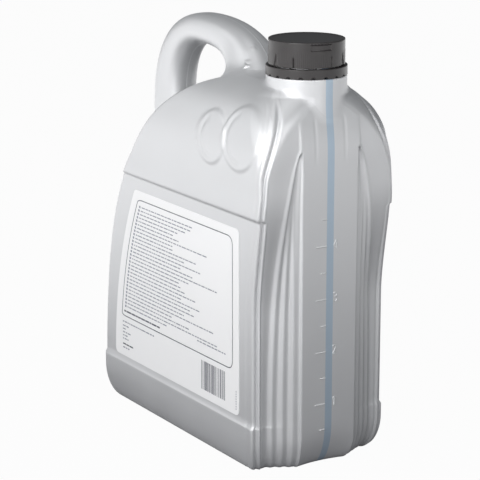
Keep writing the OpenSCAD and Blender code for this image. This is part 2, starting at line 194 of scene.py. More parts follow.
class BodyForm:
    """Outline of the body at any height. Every method takes heights as a column array."""

    dome_more = 2
    lean_after = 17
    lean_run = 28
    lean_depth = 2.9
    corner_round = 4
    corner_grow = 24
    spine_lean = 0.0425
    lancet_foot = 40
    lip_in = 3.4
    rib_s = 6
    groove_s_low = 33.6
    groove_half = 2.7
    groove_lean = 20
    # the flanks and the flutes change between this height and the dome
    upright_z = 120
    top_drop = 1.5
    rear_round, rear_sharper = 12, 9
    saddle_low, saddle_high, saddle_in = 204, 226, 12
    # soft creases that run down from the neck beside the stripe: place, depth, half width
    crease_y, crease_d, crease_half = 12.5, 0.3, 0.9
    # how far behind the front panel, how high and how large each shoulder ring is
    ring_places = ((72, 240.5, 19.5), (34, 245, 23))
    # depth at each knot of the flutes, on the low body and on the shoulder
    flutes = np.array([[0, 0], [1.6, 1.4], [0.8, 2.2], [3.0, 2.2], [1.9, 2.0], [3.9, 1.5],
                       [2.8, 0.3], [4.6, 0.9], [2.2, 0.3]])

    def __init__(self, s):
        self.s = s
        self.front_x = s.body_l / 2
        self.half_w = s.body_w / 2
        self.dome_top = s.shoulder_z + self.dome_more

    def dome(self, z):
        s = self.s
        return superarc((z - s.dome_z) / (self.dome_top - s.dome_z), s.dome_power)

    def recess(self, z):
        s = self.s
        return s.recess_d * smooth(s.band_h, s.band_h + s.ledge_run, z) * (
            1 - smooth(s.step_z - 1, s.step_z, z))

    def half_width(self, z):
        seat = self.s.ring_rise * smooth(self.s.step_z + 2, self.s.step_z + 20, z)
        return self.half_w * self.dome(z) - self.recess(z) - seat

    def front(self, z):
        lean = np.maximum(0, (z - self.s.dome_z - self.lean_after) / self.lean_run)
        return self.front_x - self.s.panel_in - self.lean_depth * lean ** 2

    def rising(self, z):
        """0 on the low body, 1 at the dome."""
        return smooth(self.upright_z, self.s.dome_z - 5, z)

    def drop(self, z):
        low = self.s.flank_drop
        return low + (self.top_drop - low) * self.rising(z)

    def corner_r(self, z):
        grow = np.maximum(0, (z - self.s.dome_z + 10) / 60) ** 1.6
        return np.minimum(self.half_width(z) - 4, self.corner_round + self.corner_grow * grow)

    def panel(self, z):
        return np.minimum(self.s.panel_half, self.half_width(z) - self.corner_r(z) - 2)

    def arch(self, z):
        return superarc((z - self.s.band_h) / (self.dome_top + 0.5 - self.s.band_h), 2)

    def side_back(self, z):
        s = self.s
        return self.front_x - s.arch_front - (s.body_l - s.arch_front - 2) * self.arch(z)

    def rear_r(self, z):
        return self.rear_round - self.rear_sharper * smooth(60, self.s.step_z, z)

    def spine(self, z):
        return -self.front_x + np.maximum(0, z - self.s.band_h) * self.spine_lean

    def back_mid(self, z):
        rise = smooth(self.saddle_high, self.s.shoulder_z, z)
        saddle = self.side_back(z) - self.saddle_in * (1 - rise)
        t = smooth(self.saddle_low, self.saddle_high, z)
        return self.spine(z) * (1 - t) + saddle * t

    def flank(self, z):
        """Unit direction along the flank and its outward normal."""
        dx, dy = -self.drop(z), self.half_width(z) - self.panel(z)
        n = np.hypot(dx, dy)
        return dx / n, dy / n, dy / n, -dx / n

    def corner(self, z):
        """Centre of the corner arc and the length of the flank before it."""
        tx, ty, nx, ny = self.flank(z)
        r = self.corner_r(z)
        y = self.half_width(z) - r
        x = self.front(z) - (r + (y - self.panel(z)) * ny) / nx
        run = (x + r * nx - self.front(z)) * tx + (y + r * ny - self.panel(z)) * ty
        return x, y, run

    def groove_s(self, z):
        _, _, run = self.corner(z)
        total = run + self.corner_r(z) * self.sweep(z)
        low = np.minimum(self.groove_s_low, total - self.groove_half - 1)
        lean = self.groove_lean * smooth(self.s.dome_z - 10, self.s.dome_z + 65, z)
        return low - lean + self.s.panel_half - self.panel(z)

    def sweep(self, z):
        """Angle of the corner arc, from the flank's normal to the side panel's."""
        _, _, nx, ny = self.flank(z)
        return np.pi / 2 - np.arctan2(ny, nx)

    def flute(self, z, at):
        """Depth of the lancet and the hollow flank: the knots joined by smoothsteps."""
        width = np.maximum(1.5, self.s.lancet_w * superarc(
            (z - self.lancet_foot) / (self.s.lancet_z - self.lancet_foot), 2))
        lip = np.maximum(width - self.lip_in, 0.7 * width)
        rib = np.minimum(self.rib_s, lip / 2)
        mid = (rib + lip) / 2
        far = self.groove_s(z) - self.groove_half - 1.5
        places = [0 * z, rib / 3, rib, (rib + mid) / 2, mid, (mid + lip) / 2, lip, width, far,
                  far + 1.6]
        up = self.rising(z)
        depths = [low + (high - low) * up for low, high in self.flutes] + [0 * z]
        out = 0
        for a, b, one, two in zip(places[:-1], places[1:], depths[:-1], depths[1:]):
            out = out + (two - one) * smooth(a, b, at)
        tip = smooth(1.5, 6, width)
        past = smooth(0.8 * width, 1.4 * width + 1, at)
        return out * (tip + (1 - tip) * past * smooth(self.s.lancet_z + 24, self.s.lancet_z, z))

    def sunk(self, z, at):
        """Depth of the groove along the corner and of the shallow dip beside it."""
        s = self.s
        fade = smooth(s.shoulder_z + 4, s.shoulder_z - 20, z)
        place = self.groove_s(z)
        beside = place + 10 - 3.5 * smooth(120, 200, z)
        return fade * (s.groove_d * bump(at, place, 1.7) + s.dip_d * bump(at, beside, 1.5))

    def edge(self, z, t):
        """Flank and corner from the panel's edge (t = 0) to the side panel (t = 1): a
        straight run, then an arc, moved inwards by the depth of flutes and grooves and
        outwards by the rings."""
        tx, ty, nx, ny = self.flank(z)
        cx, cy, run = self.corner(z)
        r = self.corner_r(z)
        first = np.arctan2(ny, nx)
        at = t * (run + r * self.sweep(z))
        angle = first + np.maximum(0, at - run) / r
        mx, my = np.cos(angle), np.sin(angle)
        flat = at <= run
        x = np.where(flat, self.front(z) + at * tx, cx + r * mx)
        y = np.where(flat, self.panel(z) + at * ty, cy + r * my)
        past = smooth(2, 5, at - self.groove_s(z))
        depth = self.flute(z, at) + self.sunk(z, at) - past * self.rings(x, z)
        return x - depth * mx, y - depth * my

    def rings(self, x, z):
        """Relief of the two shoulder rings: a raised disc with a soft rim, less a crescent
        near its rear edge that fades towards the front."""
        s = self.s
        out = 0
        for back, height, radius in self.ring_places:
            dx, dz = x - (self.front_x - back), z - height
            rho = np.hypot(dx, dz)
            rim = smooth(radius + 1.2, radius - 1.8, rho)
            rear = np.clip(-(dx * 0.94 + dz * 0.34) / np.maximum(rho, 1e-6), 0, 1) ** 0.6
            rear = rear * smooth(radius * 0.3, radius * 0.6, rho)
            out = out + s.ring_rise * rim - s.ring_dip * rear * bump(rho, radius - 5.4, 2.0)
        return out

    def half_outline(self, z):
        """x and y of the half outline at each height, from the middle of the front panel
        round the corner and along the side panel to the middle of the back."""
        s = self.s
        u = np.linspace(0, 1, 22, endpoint=False)[None, :]
        dent = s.foot_dent * smooth(s.band_h, 2, z)
        px = self.front(z) - dent * (1 - u ** 2)
        py = u * self.panel(z)
        crease = self.crease_d * smooth(226, 236, z) * smooth(262, 256, z)
        px = px - crease * bump(py, self.crease_y, self.crease_half)
        ex, ey = self.edge(z, np.linspace(0, 1, 92, endpoint=False)[None, :])
        start, _, run = self.corner(z)
        stop = self.side_back(z) + self.rear_r(z)
        total = run + self.corner_r(z) * self.sweep(z)
        v = np.concatenate([np.linspace(0, 0.5, 64, endpoint=False),
                            np.linspace(0.5, 1, 22, endpoint=False)])[None, :]
        sx = start + (stop - start) * v
        sy = self.half_width(z) + 0 * v
        sy = sy - self.sunk(z, total + start - sx) + self.rings(sx, z)
        a = np.linspace(0, np.pi / 2, 8, endpoint=False)[None, :]
        r = self.rear_r(z)
        rx = self.side_back(z) + r - r * np.sin(a)
        ry = self.half_width(z) - r + r * np.cos(a)
        w = np.linspace(1, 0, 36)[None, :]
        bx = self.side_back(z) + (self.back_mid(z) - self.side_back(z)) * (
            1 + np.cos(np.pi * w)) / 2
        by = w * (self.half_width(z) - r)
        x = np.concatenate([px + 0 * py, ex, sx, rx, bx], axis=1)
        y = np.concatenate([py, ey, sy, ry, by], axis=1)
        return x, y

    def skin(self):
        """The whole skin as a grid of points, rows upwards: the pushed-up base, the
        rounding, the walls, the dome and the closed crown."""
        s = self.s
        walls = np.concatenate([
            s.base_round * (1 - np.cos(np.linspace(0, np.pi / 2, 16))),
            np.linspace(s.base_round, s.band_h, 5)[1:],
            s.band_h + np.array([0.25, 0.5, 0.75, 1.0]),
            np.linspace(s.band_h + 2.5, s.step_z - 2.5, 40),
            s.step_z + np.array([-1, -0.75, -0.5, -0.25, 0]),
            np.linspace(s.step_z + 2, s.dome_z - 2, 11),
            s.dome_z + (s.shoulder_z - s.dome_z) * np.sin(
                np.linspace(0, np.pi / 2, s.rows_dome))])[:, None]
        x, y = self.half_outline(walls)
        lift = np.clip(1 - walls / s.base_round, 0, 1)
        tuck = 1 - np.sqrt(1 - lift ** 2)
        x = x * (1 - tuck * s.foot_in_x / self.front_x)
        y = y * (1 - tuck * s.foot_in_y / self.half_w)
        z = walls + 0 * x
        # underside: rings that shrink towards the middle and rise to the push-up
        t = np.linspace(1, 0, 9)[:-1][:, None]
        ux, uy = x[:1] * (1 - 0.97 * t), y[:1] * (1 - 0.97 * t)
        uz = s.push_up * smooth(0.12, 0.6, t) + 0 * ux
        # crown: the last outline drawn in towards the middle line
        k = np.linspace(1, 0, 10)[1:][:, None]
        tx, ty = x[-1:] + 0 * k, y[-1:] * k
        tz = z[-1:] + 0.35 * (1 - k ** 2)
        grid = np.stack([np.vstack([ux, x, tx]), np.vstack([uy, y, ty]),
                         np.vstack([uz, z, tz])], axis=2)
        other = grid[:, -2:0:-1] * np.array([1, -1, 1])
        return np.concatenate([grid, other], axis=1)


class GripForm:
    """Hollow grip: rounded bars between an outer and an inner line of the side view. Both
    are quarters of a superellipse that meet at the crest."""

    power = 2.25
    # distances behind the front panel
    crest_back, root_back, under_back, hole_back = 160, 76, 163, 124
    # heights of the leg's foot and top, and of the ends of the outer and inner lines
    foot_z, foot_top = 140, 225
    leg_z, root_z, hole_back_z, hole_front_z = 232, 272, 250, 277
    # how much wider the grip gets towards its front root
    flare = 4

    def __init__(self, body, s):
        self.body, self.s = body, s
        self.crest_x, self.root_x = body.front_x - self.crest_back, body.front_x - self.root_back
        self.under_x, self.hole_x = body.front_x - self.under_back, body.front_x - self.hole_back

    def quarter(self, cx, cz, a, b, t):
        """Point of a superellipse: centre plus the half axes times the signed powers of
        the cosine and the sine."""
        e = 2 / self.power
        return (cx + a * np.abs(np.cos(t)) ** e * np.sign(np.cos(t)),
                cz + b * np.abs(np.sin(t)) ** e)

    def stations(self):
        """Outer point, inner point and half width along the grip, smoothed."""
        s, spine = self.s, self.body.spine
        z = np.linspace(self.foot_z, self.foot_top, 26)
        leg_x = spine(self.leg_z)
        out = [np.stack([spine(z) + 3 * smooth(self.leg_z, self.foot_z, z), z], 1)]
        inn = [np.stack([leg_x + s.grip_leg + 4 * (self.leg_z - z) / self.leg_z, z], 1)]
        wide = [np.full(len(z), s.grip_half)]
        t = np.radians(np.linspace(180, 0, 110))
        back = t >= np.pi / 2
        a = np.where(back, self.crest_x - leg_x, self.root_x - self.crest_x)
        foot = np.where(back, self.leg_z, self.root_z)
        e = np.where(back, self.under_x - leg_x - s.grip_leg, self.hole_x - self.under_x)
        hole = np.where(back, self.hole_back_z, self.hole_front_z)
        out.append(np.stack(self.quarter(self.crest_x, foot, a, s.grip_top - foot, t), 1))
        inn.append(np.stack(self.quarter(self.under_x, hole, e, s.grip_under - hole, t), 1))
        wide.append(s.grip_half + self.flare * smooth(np.radians(60), 0, t))
        z = np.linspace(0, 1, 10)[1:]
        out.append(np.stack([self.root_x + 0 * z, self.root_z - 26 * z], 1))
        inn.append(np.stack([self.hole_x - 14 * z, self.hole_front_z - 31 * z], 1))
        wide.append(s.grip_half + self.flare + 5 * z)
        return np.vstack(out), np.vstack(inn), np.concatenate(wide)

    def skin(self, around=64):
        """Grid of rounded rings along the stations: each ring is a squared ellipse whose
        axes are the bar's depth in the side view and its width."""
        out, inn, wide = self.stations()
        out, inn = ease(out, 5), ease(inn, 5)
        c, v = (out + inn) / 2, (out - inn) / 2
        t = np.linspace(0, 2 * np.pi, around, endpoint=False)[None, :]
        u = np.sign(np.cos(t)) * np.abs(np.cos(t)) ** 0.75
        w = np.sign(np.sin(t)) * np.abs(np.sin(t)) ** 0.75
        return np.stack([c[:, :1] + v[:, :1] * u, -wide[:, None] * w,
                         c[:, 1:] + v[:, 1:] * u], axis=2)


def ease(path, times):
    """Path with each point but the ends moved to the mean of itself and its neighbours."""
    for _ in range(times):
        path[1:-1] = (path[:-2] + 2 * path[1:-1] + path[2:]) / 4
    return path


def grid_normals(grid):
    """Outward normals of a grid whose rows run round: the cross product of the
    differences along and across the rows."""
    around = np.roll(grid, -1, axis=1) - np.roll(grid, 1, axis=1)
    n = np.cross(around, np.gradient(grid, axis=0))
    size = np.linalg.norm(n, axis=2, keepdims=True)
    return n / np.maximum(size, 1e-9)


# depth that fuse gives a point it never looked at
UNSEEN = -1000.0


def nearest(points, others, chunk=400):
    """Index of the nearest of the other points to each point."""
    squares = (others ** 2).sum(1)
    out = [np.argmin(squares - 2 * points[i:i + chunk] @ others.T, axis=1)
           for i in range(0, len(points), chunk)]
    return np.concatenate(out) if out else np.zeros(0, int)


def fuse(grid, other, reach, keep=True):
    """Fillet where a grid runs into another. Each point close to the other surface moves
    onto the smooth union of the two: min(a, b) - (reach - |a - b|)^2 / (4 reach), with a and
    b its distances to its own surface and to the other. Past the line where a equals b it
    dips below. A point without a firm normal, or thrown further than three quarters of the
    reach, stays put. Returns the moved grid and how far each point lies inside the other."""
    own, away = grid_normals(grid), grid_normals(other)
    flat, normal = grid.reshape(-1, 3), own.reshape(-1, 3)
    far, far_n = other.reshape(-1, 3), away.reshape(-1, 3)
    inside = np.full(len(flat), UNSEEN)
    keep = np.broadcast_to(keep, grid.shape[:2])
    low, high = far.min(0) - 2 * reach, far.max(0) + 2 * reach
    near = np.flatnonzero(((flat > low) & (flat < high)).all(1) & keep.reshape(-1))
    low, high = flat[near].min(0) - reach, flat[near].max(0) + reach
    close = ((far > low) & (far < high)).all(1) & (np.abs(far_n).sum(1) > 0.5)
    far, far_n = far[close], far_n[close]
    p = flat[near].copy()
    for _ in range(5):
        k = nearest(p, far)
        a = ((p - flat[near]) * normal[near]).sum(1)
        b = ((p - far[k]) * far_n[k]).sum(1)
        h = np.clip(reach - np.abs(a - b), 0, None) / reach
        f = np.minimum(a, b) - h * h * reach / 4
        share = np.clip(0.5 + 0.5 * (b - a) / reach, 0, 1)[:, None]
        g = share * normal[near] + (1 - share) * far_n[k]
        g = g / np.maximum(np.linalg.norm(g, axis=1, keepdims=True), 0.3)
        step = np.where((b < reach) & (b > -reach), f, 0)
        p = p - g * np.clip(step, -reach / 2, reach / 2)[:, None]
        a = ((p - flat[near]) * normal[near]).sum(1)
        b = ((p - far[k]) * far_n[k]).sum(1)
    dip = np.clip(a - b, 0, 4)
    p = p - g * (0.3 * dip)[:, None]
    moved = np.linalg.norm(p - flat[near], axis=1)
    firm = np.abs(normal[near]).sum(1) > 0.5
    touched = (b < reach) & (b > -reach) & (moved < 0.75 * reach) & firm
    out = flat.copy()
    out[near[touched]] = p[touched]
    inside[near] = np.where(b < -reach, -b, a - b)
    return out.reshape(grid.shape), inside.reshape(grid.shape[:2])


# Meshes


def ring_faces(rows, columns, closed=True, flip=False):
    """Four-sided faces between neighbouring rows of a grid."""
    last = columns if closed else columns - 1
    r, c = np.meshgrid(np.arange(rows - 1), np.arange(last), indexing="ij")
    n = (c + 1) % columns
    quads = np.stack([r * columns + c, r * columns + n, (r + 1) * columns + n,
                      (r + 1) * columns + c], axis=2).reshape(-1, 4)
    return quads[:, ::-1] if flip else quads


def add_piece(name, points_mm, faces, material, body, crisp=None):
    """Puts points in millimetres and one or more arrays of faces into a new object that
    rides on a body. Edges sharper than the crisp angle are drawn as sharp."""
    mesh = bpy.data.meshes.new(name)
    points = np.asarray(points_mm, float) / 1000
    sides = [np.asarray(f) for f in (faces if isinstance(faces, list) else [faces])]
    corners = np.concatenate([f.reshape(-1) for f in sides])
    totals = np.concatenate([np.full(len(f), f.shape[1]) for f in sides])
    mesh.vertices.add(len(points))
    mesh.vertices.foreach_set("co", points.reshape(-1))
    mesh.loops.add(len(corners))
    mesh.loops.foreach_set("vertex_index", corners.astype(np.int32))
    mesh.polygons.add(len(totals))
    starts = np.concatenate([[0], np.cumsum(totals)[:-1]])
    mesh.polygons.foreach_set("loop_start", starts.astype(np.int32))
    mesh.polygons.foreach_set("loop_total", totals.astype(np.int32))
    mesh.materials.append(material)
    mesh.update(calc_edges=True)
    mesh.validate()
    mesh.shade_smooth()
    if crisp is not None:
        mesh.set_sharp_from_angle(angle=math.radians(crisp))
    piece = bpy.data.objects.new(name, mesh)
    bpy.context.scene.collection.objects.link(piece)
    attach(piece, body)
    return piece


def joined(parts):
    """Points and faces of several (points, faces) pairs as one."""
    points, faces, start = [], [], 0
    for p, f in parts:
        points.append(p)
        faces.append(f + start)
        start += len(p)
    return np.vstack(points), np.vstack(faces)


def revolve(profile, around, x):
    """Profile of (radius, height) pairs carried round a vertical axis through x."""
    t = np.linspace(0, 2 * np.pi, around, endpoint=False)
    r, z = profile[:, 0][:, None], profile[:, 1][:, None]
    return np.stack([x + r * np.cos(t), r * np.sin(t), z + 0 * r * t], axis=2)


def corner_curve(a, at, b, steps):
    """Quadratic curve from a to b that is drawn towards the corner between them."""
    t = np.linspace(0, 1, steps)[:, None]
    return (1 - t) ** 2 * a + 2 * t * (1 - t) * at + t ** 2 * b


def rounded(points, radius, steps=4):
    """Profile through the points with each inner corner cut by a curve of that radius:
    points of the quadratic curve from one side of the corner to the other."""
    p = np.asarray(points, float)
    out = [p[:1]]
    for before, at, after in zip(p[:-2], p[1:-1], p[2:]):
        one, two = before - at, after - at
        d1, d2 = np.linalg.norm(one), np.linalg.norm(two)
        a = at + one * min(radius / d1, 0.45)
        b = at + two * min(radius / d2, 0.45)
        out.append(corner_curve(a, at, b, steps))
    out.append(p[-1:])
    return np.vstack(out)


def helix_ridge(x, root, crest, start, pitch, turns, width):
    """Thread: a rounded ridge section carried along a helix. Its height grows and fades
    as a smooth ramp over the first and the last eighth of a turn."""
    t = np.linspace(0, 2 * np.pi * turns, int(64 * turns))[:, None]
    ramp = smooth(0, 0.8, t) * smooth(2 * np.pi * turns, 2 * np.pi * turns - 0.8, t)
    v = np.linspace(-1, 1, 7)[None, :]
    r = root + (crest - root) * ramp * (1 - v ** 4)
    z = start + pitch * t / (2 * np.pi) + v * width / 2
    ridge = np.stack([x + r * np.cos(t), r * np.sin(t), z + 0 * r], axis=2)
    return ridge.reshape(-1, 3), ring_faces(ridge.shape[0], 7, False, flip=crest < root)


def ridge_stroke(path, half, rise):
    """Raised stroke on the front panel: a half-round section along a path of (y, z)
    points. The section is a cosine bell across the path, closed by fading ends."""
    path = np.asarray(path, float)
    step = np.diff(path, axis=0)
    run = np.concatenate([[0], np.cumsum(np.hypot(*step.T))])
    n = max(8, int(run[-1] / 0.3))
    at = np.linspace(0, run[-1], n)
    y, z = np.interp(at, run, path[:, 0]), np.interp(at, run, path[:, 1])
    d = np.stack([np.gradient(y), np.gradient(z)], 1)
    d = d / np.linalg.norm(d, axis=1, keepdims=True)
    fade = np.sqrt(np.clip(np.minimum(at, run[-1] - at) / half, 0, 1))[:, None]
    v = np.linspace(-1, 1, 7)[None, :]
    offset = v * half * (0.3 + 0.7 * fade)
    return (y[:, None] + d[:, 1:] * offset, z[:, None] - d[:, :1] * offset,
            rise * fade * np.cos(v * np.pi / 2) ** 0.8)


# Finishes

NUMBER, COLOUR = "NodeSocketFloat", "NodeSocketColor"


def feed(tree, target, pairs):
    """Fills the inputs of a node from (socket, value) pairs: an output socket is linked to
    the input, and any other value is set on it."""
    for socket, value in pairs:
        if isinstance(value, bpy.types.NodeSocket):
            tree.links.new(value, target.inputs[socket])
        else:
            target.inputs[socket].default_value = value


def node(tree, kind, pairs=(), **settings):
    """Adds a shader node, gives it its settings and fills its inputs."""
    made = tree.nodes.new("ShaderNode" + kind)
    for key, value in settings.items():
        setattr(made, key, value)
    feed(tree, made, pairs)
    return made


def maths(tree, operation, *values):
    """Adds a maths node on the values, in order, and returns its result."""
    return node(tree, "Math", enumerate(values), operation=operation).outputs[0]


def new_group(name, inputs, outputs):
    """Node group whose sockets are given as rows of name, type and, if there is one,
    value. Returns its tree, the sockets that come in and the node that gives the results."""
    tree = bpy.data.node_groups.new(name, "ShaderNodeTree")
    for way, rows in (("INPUT", inputs), ("OUTPUT", outputs)):
        for title, kind, *value in rows:
            socket = tree.interface.new_socket(title, in_out=way, socket_type=kind)
            if value:
                socket.default_value = value[0]
    return tree, tree.nodes.new("NodeGroupInput").outputs, tree.nodes.new("NodeGroupOutput")


def moulded_grain_group():
    """Node group: faint mottling of a moulded skin. The sum of two noises, centred on
    zero, scales a colour and shifts a roughness, and the finer noise is the grain height."""
    name = "Moulded grain"
    if name in bpy.data.node_groups:
        return bpy.data.node_groups[name]
    tree, given, results = new_group(
        name,
        [("Colour", COLOUR, (0.5, 0.5, 0.5, 1)), ("Flake scale", NUMBER, 2600.0),
         ("Mottle", NUMBER, 0.06), ("Roughness", NUMBER, 0.4)],
        [("Colour", COLOUR), ("Roughness", NUMBER), ("Height", NUMBER)])
    place = ("Vector", node(tree, "TexCoord").outputs["Object"])
    flake = node(tree, "TexNoise", [place, ("Scale", given["Flake scale"]), ("Detail", 2)])
    cloud = node(tree, "TexNoise", [place, ("Scale", 34), ("Detail", 3)])
    both = maths(tree, "ADD", flake.outputs["Fac"], cloud.outputs["Fac"])
    centred = maths(tree, "SUBTRACT", both, 1.0)
    depth = maths(tree, "MULTIPLY_ADD", centred, given["Mottle"], 1.0)
    tint = node(tree, "VectorMath", [(0, given["Colour"]), ("Scale", depth)],
                operation="SCALE")
    rough = maths(tree, "MULTIPLY_ADD", centred, 0.12, given["Roughness"])
    feed(tree, results, [("Colour", tint.outputs["Vector"]), ("Roughness", rough),
                         ("Height", flake.outputs["Fac"])])
    return tree


def band_mask_group():
    """Node group: 1 inside a band of an axis value, fading over a soft edge, and 0
    outside. The band is centred on a value and has a half width."""
    name = "Soft band"
    if name in bpy.data.node_groups:
        return bpy.data.node_groups[name]
    tree, given, results = new_group(
        name,
        [("Value", NUMBER), ("Centre", NUMBER), ("Half width", NUMBER, 0.001),
         ("Edge", NUMBER, 0.0003)],
        [("Mask", NUMBER)])
    away = maths(tree, "ABSOLUTE", maths(tree, "SUBTRACT", given["Value"], given["Centre"]))
    outer = maths(tree, "ADD", given["Half width"], given["Edge"])
    ramp = node(tree, "MapRange", [("Value", away), ("From Min", given["Half width"]),
                                   ("From Max", outer), ("To Min", 1), ("To Max", 0)],
                interpolation_type="SMOOTHSTEP")
    feed(tree, results, [("Mask", ramp.outputs["Result"])])
    return tree


def new_material(name, **values):
    """A material with one Principled shader whose plain sockets take the values. Returns
    it with its node tree and the shader."""
    material = bpy.data.materials.new(name)
    material.use_nodes = True
    tree = material.node_tree
    shader = tree.nodes["Principled BSDF"]
    feed(tree, shader, [(key.replace("_", " "), value) for key, value in values.items()])
    return material, tree, shader


def grained(tree, shader, rgb, scale, mottle, roughness, height, distance=0.0001):
    """Places the grain group and feeds colour, roughness and bump. Returns the colour and
    the normal."""
    grain = node(tree, "Group", [("Colour", (*rgb, 1)), ("Flake scale", scale),
                                 ("Mottle", mottle), ("Roughness", roughness)],
                 node_tree=moulded_grain_group()).outputs
    dents = node(tree, "Bump", [("Strength", height), ("Distance", distance),
                                ("Height", grain["Height"])]).outputs["Normal"]
    feed(tree, shader, [("Base Color", grain["Colour"]), ("Roughness", grain["Roughness"]),
                        ("Normal", dents)])
    return grain["Colour"], dents


def silver_material(finish, marks):
    """Silver polyethylene: flake mottling, the clear view stripe down the front, and a
    fine raised parting line where the two mould halves met."""
    material, tree, shader = new_material("Silver_moulding", Metallic=0.6,
                                          Specular_IOR_Level=0.42)
    silver, dents = grained(tree, shader, finish.silver, 2300, 0.05, 0.49, 0.12)
    place = node(tree, "TexCoord").outputs["Object"]
    axes = node(tree, "SeparateXYZ", [("Vector", place)]).outputs

    def band(half, edge, x_from, x_to):
        across = node(tree, "Group", [("Value", axes["Y"]), ("Half width", half),
                                      ("Edge", edge)], node_tree=band_mask_group())
        along = node(tree, "MapRange", [("Value", axes["X"]), ("From Min", x_from),
                                        ("From Max", x_to)])
        return maths(tree, "MULTIPLY", across.outputs["Mask"], along.outputs["Result"])

    def painted(share, under, rgba):
        return node(tree, "Mix", [("Factor", share), ("A", under), ("B", rgba)],
                    data_type="RGBA").outputs["Result"]

    stripe = band(marks.stripe_w / 2, 0.0004, 0.0945, 0.0955)
    seam = band(0.00018, 0.0005, 0.09, 0.08)
    striped = painted(stripe, silver, (*finish.stripe, 1))
    seamed = painted(maths(tree, "MULTIPLY", seam, 0.35), striped, (0.85, 0.86, 0.88, 1))
    ridge = node(tree, "Bump", [("Strength", 0.6), ("Distance", 0.0003), ("Height", seam),
                                ("Normal", dents)])
    feed(tree, shader, [("Base Color", seamed), ("Normal", ridge.outputs["Normal"])])
    return material


def grained_material(name, rgb, roughness, scale=1800, mottle=0.08, height=0.15,
                     distance=0.0001, **values):
    """A material of one colour with the shared grain."""
    material, tree, shader = new_material(name, **values)
    grained(tree, shader, rgb, scale, mottle, roughness, height, distance)
    return material


def print_material(name, rgb, roughness):
    """Printed ink or a matt raised stroke, a little uneven."""
    return grained_material(name, rgb, roughness, 900, 0.2, 0.02)


def repaint(name, material):
    """Gives a node of the frame a new material."""
    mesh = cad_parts[name].data
    mesh.materials.clear()
    mesh.materials.append(material)


# Operators


def uncovered(faces, hidden):
    """The faces with at least one corner that isn't hidden."""
    return faces[~hidden.reshape(-1)[faces].all(axis=1)]


class BOTTLE_OT_skin(Operator):
    """Moulded skin: the body, the grip and the neck, each a grid of points, with fillets
    where they run into each other."""

    bl_idname = "bottle.skin"
    bl_label = "Moulded skin"

    fillet_half = 46
    # the fillet along the grip fades in between these heights and stays behind this X
    root_low, root_high, root_front = 125, 175, 70
    neck_foot = 245
    stem_low, stem_flare, stem_sides = 246, 259, 160
    # depth inside its neighbour at which a point of the body or a root is out of sight
    under_grip, under_neck, under_body = 2.5, 1.5, 3

    def execute(self, context):
        scene = context.scene
        neck, grip_sizes = sizes(scene.bottle_neck), sizes(scene.bottle_grip)
        body = BodyForm(sizes(scene.bottle_body))
        material = silver_material(scene.bottle_finish, scene.bottle_marks)
        blank = body.skin()
        grip = GripForm(body, grip_sizes).skin()
        neck_x = body.front_x - neck.neck_back
        heights = np.linspace(self.stem_low, neck.neck_z - 1.2, 44)
        taper = 0.25 * np.maximum(0, self.stem_flare - heights) ** 1.2
        stem = revolve(np.stack([neck.neck_r - taper, heights], axis=1), self.stem_sides, neck_x)
        x, y, z = blank[..., 0], blank[..., 1], blank[..., 2]
        rear = (np.abs(y) < self.fillet_half) & (z > self.root_low) & (x < self.root_front)
        rooted, in_grip = fuse(blank, grip, grip_sizes.root_blend, rear)
        share = smooth(self.root_low, self.root_high, z)[..., None]
        rooted = blank + (rooted - blank) * share
        grip_a, in_trunk = fuse(grip, blank, grip_sizes.root_blend)
        front = (np.hypot(x - neck_x, y) < self.fillet_half) & (z > self.neck_foot)
        necked, in_neck = fuse(rooted, stem, neck.neck_blend, front & (in_grip < -1))
        trunk = np.where((in_neck > UNSEEN)[..., None], necked, rooted)
        stem_a, stem_in = fuse(stem, blank, neck.neck_blend)

        rows, columns = trunk.shape[:2]
        hidden = (in_grip > self.under_grip) | (in_neck > self.under_neck)
        faces = uncovered(ring_faces(rows, columns), hidden)
        points = np.vstack([trunk.reshape(-1, 3), trunk[0].mean(0)])
        floor = np.stack([np.full(columns, len(points) - 1), (np.arange(columns) + 1) % columns,
                          np.arange(columns)], 1)
        wall = add_piece("Bottle_body", points, [faces, floor], material, "bottle",
                         crisp=48)
        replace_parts(wall, "bottle")

        faces = uncovered(ring_faces(*grip.shape[:2], flip=True), in_trunk > self.under_body)
        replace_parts(add_piece("Bottle_grip", grip_a.reshape(-1, 3), faces, material,
                              "bottle"), "bottle")

        faces = uncovered(ring_faces(*stem.shape[:2]), stem_in > self.under_body)
        rim_z = neck.neck_z + neck.finish_h
        bead_z = neck.neck_z + 3.6
        top = rounded([
            [neck.neck_r, neck.neck_z - 1.2], [neck.neck_r, neck.neck_z],
            [neck.finish_r, neck.neck_z], [neck.finish_r, bead_z],
            [neck.finish_r + 1.8, bead_z + 0.4], [neck.finish_r + 1.8, bead_z + 1],
            [neck.finish_r, bead_z + 1.8], [neck.finish_r, rim_z], [neck.mouth_r, rim_z],
            [neck.mouth_r, neck.neck_z - 2.8], [neck.neck_r - 1.4, neck.neck_z - 3.2],
            [neck.neck_r - 1.4, 252]], 0.6)
        lathe = revolve(top, self.stem_sides, neck_x)
        points, faces = joined([
            (stem_a.reshape(-1, 3), faces),
            (lathe.reshape(-1, 3), ring_faces(*lathe.shape[:2])),
            helix_ridge(neck_x, neck.finish_r - 0.1, neck.finish_r + 1.3, bead_z + 4.2,
                        neck.pitch, neck.turns, 1.7)])
        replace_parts(add_piece("Bottle_neck", points, faces, material, "bottle",
                              crisp=50), "bottle")
        return {"FINISHED"}


